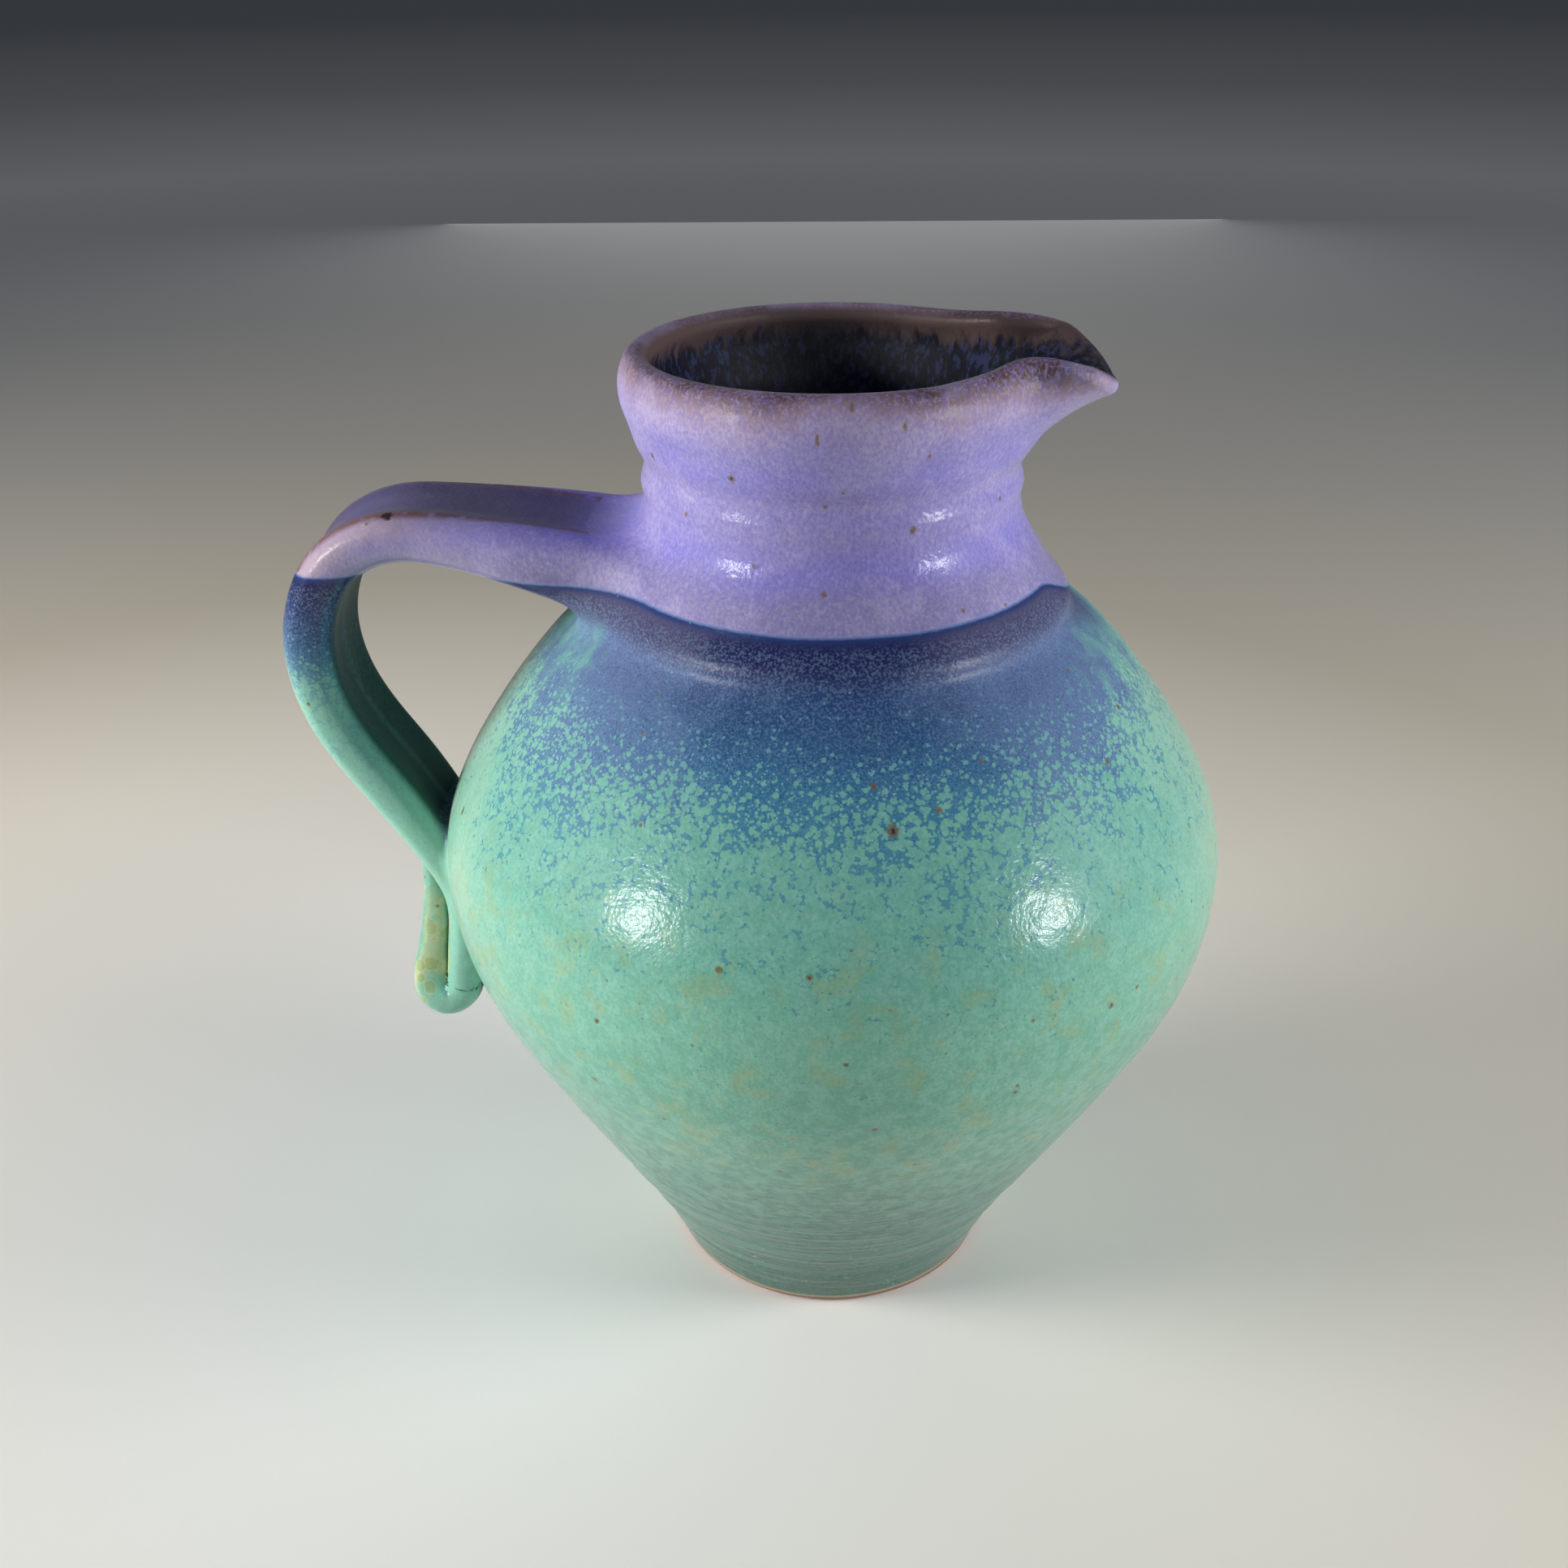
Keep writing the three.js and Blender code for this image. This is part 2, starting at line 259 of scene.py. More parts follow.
def capped(places, normals, inside, centres):
    """Joins a grid's rows into a closed body: end to start, or with a point in the middle of
    each end where there are centres."""
    rows, columns = places.shape[:2]
    vertices = places.reshape(-1, 3)
    normals = normals.reshape(-1, 3)
    inside = inside.reshape(-1)
    faces = []
    for row in range(rows - 1):
        faces += band(row * columns, (row + 1) * columns, columns)
    last = (rows - 1) * columns
    if centres is None:
        return vertices, faces + band(last, 0, columns), normals, inside
    middle = rows * columns
    for j in range(columns):
        k = (j + 1) % columns
        faces.append((middle, k, j))
        faces.append((middle + 1, last + j, last + k))
    vertices = np.vstack([vertices, centres])
    normals = np.vstack([normals, [(0, 0, -1), (0, 0, 1)]])
    return vertices, faces, normals, np.concatenate([inside, [0, 1]])


azimuths = columns_round()
around = np.stack([np.cos(azimuths), np.sin(azimuths), 0 * azimuths], axis=-1)
skin_line = pot_skin(ROWS)
skin, skin_out, skin_up = skin_grid(skin_line, azimuths)
SEAM_ROW = int(np.searchsorted(skin_line[:, 1], SEAM + 0.1))
NECK_ROW = int(np.searchsorted(skin_line[:, 1], NECK_START - 0.1))


def inner_wall(rows, wall):
    """The inside of the wall behind some rows of the skin."""
    return skin[rows] - skin_out[rows] * wall


def at_height(height):
    return np.array((0, 0, height))


def foot_rows():
    """The flat foot and its rounded edge, from the middle out."""
    places = [around * (FOOT_RADIUS - FOOT_BAND)]
    facing = [around * 0 - at_height(1.0)]
    for angle in np.radians([90, 60, 30]):
        inward = FOOT_RADIUS - FOOT_EDGE * math.sin(angle)
        rise = FOOT_EDGE * (1 - math.sin(angle)) * 0.9
        places.append(around * inward + at_height(rise))
        facing.append(around * math.cos(angle) - at_height(math.sin(angle)))
    return np.stack(places), np.stack(facing)


def floor_rows(radius):
    """The coved corner inside and the flat floor, from the wall in."""
    places = [
        around * (radius - FLOOR_COVE) + at_height(FLOOR_THICKNESS + FLOOR_COVE),
        around * (radius - FLOOR_COVE - 5) + at_height(FLOOR_THICKNESS),
    ]
    facing = [unit(around * -0.6 + at_height(0.8)), around * 0 + at_height(1.0)]
    return np.stack(places), np.stack(facing)


def belly_piece(material):
    outside = slice(SEAM_ROW + 1)
    foot, foot_facing = foot_rows()
    behind = np.arange(SEAM_ROW, 0, -3)
    behind = behind[skin_line[behind, 1] > FLOOR_THICKNESS + 2 * FLOOR_COVE]
    wall = inner_wall(behind, BELLY_WALL)
    floor, floor_facing = floor_rows(skin_line[behind[-1], 0] - BELLY_WALL)
    places = np.concatenate([foot, skin[outside], wall, floor])
    normals = np.concatenate([foot_facing, skin_out[outside], -skin_out[behind], floor_facing])
    inside = np.zeros(places.shape[:2])
    inside[len(foot) + SEAM_ROW + 1:] = 1
    centres = np.array([(0, 0, 0), (0, 0, FLOOR_THICKNESS)])
    vertices, faces, normals, inside = capped(places, normals, inside, centres)
    return make_piece("belly_shell", vertices, faces, normals, material, {"inside": inside})


def neck_coil_piece(material):
    rows = slice(SEAM_ROW, NECK_ROW + 1)
    outside = skin[rows]
    back = inner_wall(np.arange(NECK_ROW, SEAM_ROW - 1, -1), COIL_WALL)
    places = np.concatenate([outside, back])
    normals = np.concatenate([skin_out[rows], -skin_out[rows][::-1]])
    inside = np.zeros(places.shape[:2])
    inside[len(outside):] = 1
    vertices, faces, normals, inside = capped(places, normals, inside, None)
    return make_piece("neck_luting_coil_ring", vertices, faces, normals, material,
                      {"inside": inside})


def lip_rows(wall):
    """The rounded lip, over from the outside to the inside."""
    out, up = skin_out[-1], skin_up[-1]
    places = []
    facing = []
    for angle in np.radians(np.arange(20, 180, 20)):
        over = (math.cos(angle) - 1) * out + math.sin(angle) * up
        places.append(skin[-1] + wall / 2 * over)
        facing.append(math.cos(angle) * out + math.sin(angle) * up)
    return np.stack(places), np.stack(facing)


def neck_piece(material):
    rows = np.arange(NECK_ROW, ROWS + 1)
    rise = (rows - NECK_ROW) / (ROWS - NECK_ROW)
    near_spout = np.maximum(0, 1 - np.abs(azimuths) / SPOUT_HALF_ANGLE)
    wall = NECK_WALL + (TIP_WALL - NECK_WALL) * near_spout[None] * rise[:, None] ** 2
    wall = wall[..., None]
    lip, lip_facing = lip_rows(wall[-1])
    behind = inner_wall(rows, wall)[::-1]
    behind[..., 2] = np.maximum(behind[..., 2], NECK_START)
    places = np.concatenate([skin[rows], lip, behind])
    normals = np.concatenate([skin_out[rows], lip_facing, -skin_out[rows][::-1]])
    inside = np.zeros(places.shape[:2])
    inside[len(rows):len(rows) + len(lip)] = np.linspace(0.1, 0.9, len(lip))[:, None]
    inside[len(rows) + len(lip):] = 1
    vertices, faces, normals, inside = capped(places, normals, inside, None)
    return make_piece("neck_collar", vertices, faces, normals, material, {"inside": inside})


# ---- Pressed clay: the handle and the clay worked in round its ends ----
# A solid is a function of place: the distance from its skin in millimetres, negative inside.
VOXEL = 0.62  # the fineness of the clay's mesh
FIELD_REACH = 4.0  # how far from its skin a solid's distance is kept
LOOKUP_STEP = 0.5


class Line:
    """A line in a plane, with a lookup of how far along it and how far off it a place is."""

    def __init__(self, line, outward_sign, reach):
        tangent = unit(np.gradient(line, axis=0))
        normal = outward_sign * np.stack([-tangent[:, 1], tangent[:, 0]], axis=1)
        run = np.concatenate([[0], np.cumsum(np.linalg.norm(np.diff(line, axis=0), axis=1))])
        self.length = run[-1]
        self.low = line.min(0) - reach
        count = np.ceil((line.max(0) + reach - self.low) / LOOKUP_STEP).astype(int) + 1
        first = self.low[0] + LOOKUP_STEP * np.arange(count[0])
        second = self.low[1] + LOOKUP_STEP * np.arange(count[1])
        self.along = np.empty(count)
        self.off = np.empty(count)
        for i, a in enumerate(first):
            away_a = a - line[:, 0]
            away_b = second[:, None] - line[None, :, 1]
            near = np.argmin(away_a[None] ** 2 + away_b ** 2, axis=1)
            gap_a = away_a[near]
            gap_b = away_b[np.arange(len(second)), near]
            self.along[i] = run[near] + gap_a * tangent[near, 0] + gap_b * tangent[near, 1]
            self.off[i] = gap_a * normal[near, 0] + gap_b * normal[near, 1]

    def find(self, a, b):
        """(along, off) at places of the plane, read between the lookup's corners."""
        u = np.clip((a - self.low[0]) / LOOKUP_STEP, 0, self.along.shape[0] - 1.001)
        v = np.clip((b - self.low[1]) / LOOKUP_STEP, 0, self.along.shape[1] - 1.001)
        i, j = u.astype(int), v.astype(int)
        fu, fv = u - i, v - j
        found = []
        for table in (self.along, self.off):
            low = table[i, j] * (1 - fv) + table[i, j + 1] * fv
            high = table[i + 1, j] * (1 - fv) + table[i + 1, j + 1] * fv
            found.append(low * (1 - fu) + high * fu)
        return found


# The middle lines of the strap and of its turned-up tail: (out from the pot's axis, height).
STRAP_PATH = [(40, 187), (50, 190.5), (62, 193.5), (76, 196.4), (90, 198.4), (100, 198.4),
              (109.3, 194.8), (116, 187.8), (120, 178), (120.9, 168), (118.7, 156.5),
              (113.0, 144.6), (105.2, 132.6), (97.8, 120.0), (93.0, 110), (91.3, 101),
              (92.2, 91), (93.3, 82.5), (94.0, 79)]
TAIL_PATH = [(92.8, 87), (93.8, 79.2), (95.2, 76.2), (98, 74.6), (101.3, 76.6), (102.1, 81.5),
             (101.3, 88), (100.0, 95), (99.2, 103), (99.7, 110), (100.8, 116), (102, 119.5)]
TO_HANDLE_SIDE = (-1, 1)
STRAP_HALF_WIDTH = 15.5
STRAP_HALF_THICKNESS = 6
STRAP_CORNER = 4.0
STRAP_BULGE = 1.5
TOP_VALLEY = 1.3  # how far the strap's outer face is sunk between its edges
PALM_VALLEY = 0.7
ROOT_WIDENING = 6
ROOT_THICKENING = 3
TAIL_HALF_THICKNESS = 4.8
TAIL_VALLEY = 0.4
TAIL_TIP_SOFTNESS = 2.5
TOP_CLAY_LEVELS = (165, 260)  # between which heights the root's clay is worked in
BEAD_LEVELS = (60, 150)

pot_line = Line(pot_skin(900), -1, 30)
strap_line = Line(smooth_curve(STRAP_PATH, 420) * TO_HANDLE_SIDE, -1, 22)
tail_line = Line(smooth_curve(TAIL_PATH, 160) * TO_HANDLE_SIDE, -1, 16)


def pot_depth(places):
    """The distance from the pot's skin."""
    radius = np.hypot(places[..., 0], places[..., 1])
    return pot_line.find(radius, places[..., 2])[1]


def section(across, off, half_width, half_thickness, corner, bulge, valley):
    """Distance to a strap's rounded section, with full edges and sunk faces."""
    side = np.abs(across) + bulge * np.clip(off / half_thickness, -1.3, 1.3) ** 2 - half_width
    face = np.abs(off) - half_thickness
    face = face + valley * np.exp(-(across / (0.55 * half_width)) ** 4)
    side, face = side + corner, face + corner
    beyond = np.hypot(np.maximum(side, 0), np.maximum(face, 0))
    return beyond + np.minimum(np.maximum(side, face), 0) - corner


def strap_shape(places):
    """The pulled strap: wide and thick at its root, thinner where it is pressed on."""
    along, off = strap_line.find(places[..., 0], places[..., 2])
    share = along / strap_line.length
    root = 1 - ease(share, 0, 0.3)
    half_width = STRAP_HALF_WIDTH + ROOT_WIDENING * root
    pressed = 1.2 * ease(share, 0.68, 0.9)
    half_thickness = STRAP_HALF_THICKNESS + ROOT_THICKENING * root - pressed
    fading = 1 - 0.5 * ease(share, 0.75, 0.95)
    valley = np.where(off > 0, TOP_VALLEY * fading, PALM_VALLEY)
    skin_at = section(places[..., 1], off, half_width, half_thickness,
                      STRAP_CORNER, STRAP_BULGE, valley)
    return np.maximum(skin_at, along - strap_line.length)


def tail_shape(places):
    """The tail: it comes out of the strap's end, folds up, and narrows to a soft tip."""
    along, off = tail_line.find(places[..., 0], places[..., 2])
    share = along / tail_line.length
    tip = ease(share, 0.6, 1)
    folded = ease(share, 0.12, 0.35)
    emerging = 0.6 * ease(along, 2, 8) - 0.5
    half_width = STRAP_HALF_WIDTH - 4.5 * ease(share, 0.25, 0.5) - 2 * tip + emerging
    thinned = 1.1 * ease(share, 0.3, 0.6)
    half_thickness = TAIL_HALF_THICKNESS + emerging - thinned - 1.8 * tip
    skin_at = section(places[..., 1], off, half_width, half_thickness,
                      STRAP_CORNER - 1.6 * folded, STRAP_BULGE - 0.5 * folded, TAIL_VALLEY)
    skin_at = np.maximum(skin_at, -along)
    return blend_in(skin_at, along - tail_line.length, -TAIL_TIP_SOFTNESS)


def blend_in(a, b, reach):
    """Two solids melted together for a positive reach; what they share, softened, for a
    negative one."""
    sign = np.sign(reach)
    a, b = sign * a, sign * b
    melt = np.maximum(abs(reach) - np.abs(a - b), 0) / abs(reach)
    return sign * (np.minimum(a, b) - melt * melt * abs(reach) / 4)


def fillet_reach(places):
    """How widely the joint clay is smeared: broad at the neck, a thin bead on the belly."""
    return 3.2 + 7.8 * ease(places[..., 2], 140, 170)


def handle_solid(places):
    """The strap, cut off a little way under the pot's skin."""
    return np.maximum(strap_shape(places), -(pot_depth(places) + 1.5))


def tail_solid(places):
    """The tail, laid against the strap with a fine slit that closes at the fold."""
    strap, pot = strap_shape(places), pot_depth(places)
    slit = 0.25 - 0.5 * (1 - ease(places[..., 2], 82, 92))
    shape = np.maximum(tail_shape(places), slit - strap)
    return np.maximum(shape, -(pot + 1.0))


def fillet_solid(places, low, high):
    """The worked-in clay between strap and pot, feathered to nothing under both skins."""
    strap, pot = strap_shape(places), pot_depth(places)
    sunk = 0.04
    buried = 2.0
    reach = fillet_reach(places)
    shape = blend_in(strap, pot, reach) + sunk
    shape = np.maximum(shape, -(strap + buried))
    shape = np.maximum(shape, -(pot + buried))
    shape = np.maximum(shape, np.maximum(strap, pot) - reach - 1.0)
    height = places[..., 2]
    return np.maximum(shape, np.maximum(low - height, height - high))


def top_clay_solid(places):
    return fillet_solid(places, *TOP_CLAY_LEVELS)


def bead_solid(places):
    return fillet_solid(places, *BEAD_LEVELS)


def slope_of(solid, places):
    """Which way a solid's skin faces."""
    nudge = 0.05
    parts = []
    for axis in np.eye(3) * nudge:
        parts.append((solid(places + axis) - solid(places - axis)) / (2 * nudge))
    return np.stack(parts, axis=-1)


def polygonise(solid, low, high):
    """The skin of a solid inside a box: even quads, moved on to the true skin in small steps."""
    low = np.asarray(low, float)
    counts = np.ceil((np.asarray(high) - low) / VOXEL).astype(int) + 1
    axes = [low[k] + VOXEL * np.arange(counts[k]) for k in range(3)]
    samples = np.empty(counts, np.float32)
    for i, x in enumerate(axes[0]):
        y, z = np.meshgrid(axes[1], axes[2], indexing="ij")
        samples[i] = solid(np.stack([np.full_like(y, x), y, z], axis=-1))
    grid = openvdb.FloatGrid(FIELD_REACH)
    grid.copyFromArray(np.clip(samples, -FIELD_REACH, FIELD_REACH))
    points, quads = grid.convertToQuads(isovalue=0.0)
    vertices = np.asarray(points, float) * VOXEL + low
    least_steepness = 0.3
    longest_move = 0.35
    for _ in range(4):
        slope = slope_of(solid, vertices)
        steepness = np.maximum((slope ** 2).sum(-1), least_steepness)
        move = -(solid(vertices) / steepness)[:, None] * slope
        vertices = vertices + np.clip(move, -longest_move, longest_move)
    return vertices, np.asarray(quads)[:, ::-1], slope_of(solid, vertices)


def clay_piece(name, solid, node, margin, material):
    """The mesh of a clay solid, searched for in its CAD node's box with a margin round it."""
    low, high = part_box(node)
    low, high = np.array(low) / MM - margin, np.array(high) / MM + margin
    vertices, quads, normals = polygonise(solid, low, high)
    corners = vertices[quads]
    volume = np.einsum("ij,ij->", corners[:, 0], np.cross(corners[:, 1], corners[:, 2]))
    if volume < 0:
        quads = quads[:, ::-1]
    along, off = strap_line.find(vertices[:, 0], vertices[:, 2])
    marks = {"across": vertices[:, 1], "off": off, "along": along}
    return make_piece(name, vertices, quads.tolist(), normals, material, marks)


# ---- Glaze: shader maths ----

class Value:
    """A shader socket that does arithmetic: each operator adds its Math node."""

    def __init__(self, tree, socket):
        self.tree = tree
        self.socket = socket

    def math(self, operation, *values):
        inputs = dict(enumerate(values))
        return self.tree.node("ShaderNodeMath", {"operation": operation}, inputs)

    def __add__(self, other):
        return self.math("ADD", self, other)

    __radd__ = __add__

    def __sub__(self, other):
        return self.math("SUBTRACT", self, other)

    def __rsub__(self, other):
        return self.math("SUBTRACT", other, self)

    def __mul__(self, other):
        return self.math("MULTIPLY", self, other)

    __rmul__ = __mul__

    def __truediv__(self, other):
        return self.math("DIVIDE", self, other)

    def __rtruediv__(self, other):
        return self.math("DIVIDE", other, self)

    def __neg__(self):
        return self.math("MULTIPLY", self, -1)

    def __abs__(self):
        return self.math("ABSOLUTE", self)

    def least(self, other):
        return self.math("MINIMUM", self, other)

    def angle_over(self, other):
        """The angle of a right triangle with this rise and the other run."""
        return self.math("ARCTAN2", self, other)


class Nodes:
    """One material's nodes, and the few kinds of node that the glazes are made of."""

    def __init__(self, name):
        self.material = bpy.data.materials.new(name)
        self.material.use_nodes = True
        self.tree = self.material.node_tree
        self.tree.nodes.clear()

    def node(self, kind, settings=None, inputs=None, output=0):
        """Any node: its settings first, then the values or links of its sockets."""
        made = self.tree.nodes.new(kind)
        for name, value in (settings or {}).items():
            if name == "stops":
                self.set_stops(made.color_ramp, value)
            else:
                setattr(made, name, value)
        for name, value in (inputs or {}).items():
            if isinstance(value, Value):
                self.tree.links.new(value.socket, made.inputs[name])
            else:
                made.inputs[name].default_value = value
        return Value(self, made.outputs[output]) if made.outputs else None

    @staticmethod
    def set_stops(ramp, stops):
        while len(ramp.elements) < len(stops):
            ramp.elements.new(0.5)
        for element, (position, colour) in zip(ramp.elements, stops):
            element.position = position
            element.color = colour

    def finished(self, kind, inputs):
        """The material, with a shader of this kind as its surface."""
        shader = self.node(kind, inputs=inputs)
        self.node("ShaderNodeOutputMaterial", inputs={"Surface": shader})
        return self.material

    def place(self):
        """The place on the object, in drawn millimetres."""
        where = self.node("ShaderNodeTexCoord", output="Object")
        return self.scaled(where, (1 / MM,) * 3)

    def vector(self, operation, first, second, output="Vector"):
        return self.node("ShaderNodeVectorMath", {"operation": operation},
                         {0: first, 1: second}, output)

    def scaled(self, place, factors):
        return self.vector("MULTIPLY", place, factors)

    def moved(self, place, by):
        return self.vector("ADD", place, by)

    def distance(self, place, centre):
        return self.vector("DISTANCE", place, centre, "Value")

    def part(self, vector, axis):
        return self.node("ShaderNodeSeparateXYZ", inputs={0: vector}, output=axis)

    def mark(self, name):
        """A number that the mesh carries at each vertex."""
        return self.node("ShaderNodeAttribute", {"attribute_name": name}, output="Fac")

    def step(self, value, start, end):
        """A smooth step from 0 at start to 1 at end."""
        return self.node("ShaderNodeMapRange", {"interpolation_type": "SMOOTHSTEP"},
                         {"Value": value, "From Min": start, "From Max": end})

    def mix(self, factor, first, second, blend="MIX"):
        return self.node("ShaderNodeMix", {"data_type": "RGBA", "blend_type": blend},
                         {0: factor, 6: first, 7: second}, output=2)

    def noise(self, place, size, detail=2.0, roughness=0.5, offset=0.0, stretch=1.0):
        """Cloudy noise about 0.5, with features of the given size in millimetres; stretch
        lengthens them upward, and each offset gives other clouds."""
        factors = (1 / size, 1 / size, 1 / (size * stretch))
        where = self.moved(self.scaled(place, factors), (offset, 2 * offset, offset))
        return self.node("ShaderNodeTexNoise", {},
                         {"Vector": where, "Scale": 1.0, "Detail": detail,
                          "Roughness": roughness})

    def cells(self, place, size, offset=0.0):
        """How far a place is from the nearest of many scattered points, in their spacing."""
        where = self.moved(self.scaled(place, (1 / size,) * 3), (offset,) * 3)
        return self.node("ShaderNodeTexVoronoi", {}, {"Vector": where, "Scale": 1.0})

    def ramp(self, value, low, high, stops):
        """Colours by value from low to high: each stop is (value, colour)."""
        share = (value - low) / (high - low)
        places = [((at - low) / (high - low), colour) for at, colour in stops]
        return self.node("ShaderNodeValToRGB", {"stops": places}, {"Fac": share})


def paint(code):
    """A colour from its RRGGBB code."""
    channels = [int(code[i:i + 2], 16) / 255 for i in (0, 2, 4)]
    linear = [c / 12.92 if c <= 0.04045 else ((c + 0.055) / 1.055) ** 2.4 for c in channels]
    return (*linear, 1.0)


# ---- Glaze: colours ----
CLAY = paint("8a5b3d")
CREAM = paint("c9b98e")
FOOT_GREEN = paint("2a5c4d")
LOW_GREEN = paint("357562")
MID_GREEN = paint("63aa92")
HIGH_GREEN = paint("80c4ab")
TURQUOISE = paint("7fc4b4")
PALE_GREEN = paint("98d4bf")
SIDE_SHEEN_GREEN = paint("c2e2c6")
DARK_GREEN = paint("55937f")
YELLOW_GREEN = paint("a3b070")
TEAL_BLUE = paint("4188a8")
FLAKE_BLUE = paint("366f9b")
MID_BLUE = paint("2d5785")
DEEP_BLUE = paint("283f78")
NAVY = paint("1d2059")
HAZE = paint("7286b2")
SPECK_BLUE = paint("86a5c4")
POND_BLUE = paint("549fac")
FLAKE_PALE = paint("6c9fbb")
SCUM_MAUVE = paint("6a6482")
STREAK = paint("6f9686")
LINE_BLUE = paint("7d92c8")
MAUVE = paint("9891bb")
VIOLET_GRAIN = paint("7d74c4")
PALE_GRAIN = paint("cbbfe4")
LAVENDER = paint("a098d3")
BLUE_LAVENDER = paint("938edb")
PINK_LAVENDER = paint("b09fc2")
TAN_PINK = paint("9c8289")
# Painted shade for the handle's top and under its root:
TOP_SHADE_MAUVE = paint("483f4e")
RIM_BROWN = paint("5f4436")
INSIDE_NAVY = paint("080b1e")
INSIDE_BROWN = paint("594745")
INSIDE_BLUE = paint("2b345a")
INSIDE_SHADE = paint("020205")
RUST = paint("80663c")
IRON = paint("1e120c")
CORNER_PINK = paint("d9bdb4")
FRONT_MAUVE = paint("c6b6d2")
RIDGE_BROWN = paint("7a4f3a")
RIDGE_CREAM = paint("c9cf9a")
PAINTED_SHADE_GREEN = paint("02463a")

LINE_HEIGHT = 190.8  # where the lavender dip ended
LINE_DIP = 6.5  # how much lower it hangs under the spout
HANDLE_SPOT = (-98.6, -12.5, 204.6)  # the large iron spot on the handle
SATIN = 0.22  # the roughness of the pot's glaze
NECK_SATIN = 0.25
HANDLE_SATIN = 0.28
# Iron spots that came through the glaze: (azimuth in degrees, height, radius, length).
SPOTS = [(-80.6, 160, 1.3, 1.3), (-83, 167, 0.7, 1.0), (-73, 162.5, 0.8, 1.0),
         (-38, 161, 0.8, 1.0), (-26, 166.5, 0.7, 1.6), (-104, 135.5, 0.9, 1.0),
         (-92.5, 135.5, 0.8, 1.0), (-162, 138, 0.8, 1.8), (-88, 117, 0.7, 1.0),
         (-51, 117, 0.8, 1.0), (-46, 118, 0.6, 1.0), (-65, 102, 0.8, 1.0),
         (-84, 97, 0.7, 1.0), (-124, 98, 0.9, 1.0), (-121, 117.5, 0.8, 1.0),
         (-103.5, 59.5, 0.7, 1.0), (-97.6, 77.5, 0.8, 1.0)]
NECK_SPOTS = [(-85, 238, 0.7, 3.4), (-93.5, 230.6, 0.6, 2.6), (-72, 233, 0.6, 2.4),
              (-117, 221, 0.8, 1.2), (-148, 221, 0.6, 2.0), (-67, 210, 0.9, 1.3),
              (-92, 198.5, 0.8, 1.2), (-87, 219, 0.6, 1.2), (-161, 236.6, 0.6, 2.4),
              (78, 238, 0.6, 4.0), (165, 239, 0.6, 2.4)]


def spot_distance(nodes, place, spots):
    """How far a place is from the nearest spot, as a share of the spot's size."""
    nearest = None
    for azimuth, height, radius, length in spots:
        line = skin_line[np.argmin(np.abs(skin_line[:, 1] - height))]
        angle = math.radians(azimuth)
        factors = (1 / radius, 1 / radius, 1 / (radius * length))
        centre = Vector((line[0] * math.cos(angle), line[0] * math.sin(angle), height))
        centre = tuple(c * f for c, f in zip(centre, factors))
        reach = nodes.distance(nodes.scaled(place, factors), centre)
        nearest = reach if nearest is None else nearest.least(reach)
    return nearest


def line_drop(nodes, place):
    """How far the dipped line hangs at a place: it dips towards the spout."""
    x, y = nodes.part(place, "X"), nodes.part(place, "Y")
    return LINE_DIP * nodes.step(abs(y.angle_over(x)), 0.42, 0.0)


def front_angle(nodes, place):
    """How far round from the front a place is, in radians."""
    x, y = nodes.part(place, "X"), nodes.part(place, "Y")
    return abs(x.angle_over(-y))


def green_glaze(nodes, place, height):
    """The mottled green of the belly, by height, with its clouds and tinges."""
    drift = nodes.noise(place, 26, 2, offset=3) - 0.5
    base = nodes.ramp(height + 26 * drift, 0, 160, [
        (4, FOOT_GREEN), (45, LOW_GREEN), (85, MID_GREEN), (120, HIGH_GREEN), (150, TURQUOISE)])
    cloud = nodes.step(nodes.noise(place, 3.6, 3, 0.65, offset=7), 0.38, 0.62)
    base = nodes.mix(0.45 * cloud * nodes.step(height, 10, 80), base, PALE_GREEN)
    grain = nodes.step(nodes.noise(place, 0.9, 2, 0.65, offset=9), 0.40, 0.62)
    base = nodes.mix(0.26 * grain, base, DARK_GREEN)
    tinge = nodes.step(nodes.noise(place, 8, 3, 0.65, offset=5), 0.50, 0.66)
    tinge_zone = nodes.step(height, 50, 85) * nodes.step(height, 158, 125)
    return nodes.mix(0.36 * tinge * tinge_zone, base, YELLOW_GREEN)


def throwing_streaks(nodes, place, height):
    """Thin level lines in the lower belly where the glaze is thin."""
    lines = nodes.noise(nodes.scaled(place, (0.02, 0.02, 1)), 1.5, 3, 0.7, offset=2)
    return nodes.step(lines, 0.44, 0.58) * nodes.step(height, 85, 40)


def blue_glaze(nodes, depth):
    """The navy overlap and the blue and teal below it, by depth under the line."""
    return nodes.ramp(depth, 0, 80, [
        (0.0, LINE_BLUE), (0.15, LINE_BLUE), (0.6, DEEP_BLUE), (2.0, NAVY), (5, NAVY),
        (10, DEEP_BLUE), (15, MID_BLUE), (21, FLAKE_BLUE), (28, TEAL_BLUE), (39, POND_BLUE),
        (75, MID_GREEN)])


def flakes_over(nodes, place, level):
    """Round flakes, few and small at first, that grow together as the level rises."""
    wobble = 0.6 * (nodes.noise(place, 0.7, 2, 0.6, offset=45) - 0.5)
    large = nodes.cells(place, 1.9, 41) + wobble
    small = nodes.cells(place, 1.0, 43) + wobble + 0.08
    nearest = large.least(small)
    patch = nodes.noise(place, 10, 3, 0.65, offset=47) - 0.5
    reach = 0.46 * nodes.step(level, 5, 38) + 0.34 * nodes.step(level, 22, 74) + 0.03
    reach = reach + 0.85 * patch * nodes.step(level, 14, 44)
    return nodes.step(reach - nearest, -0.06, 0.08)


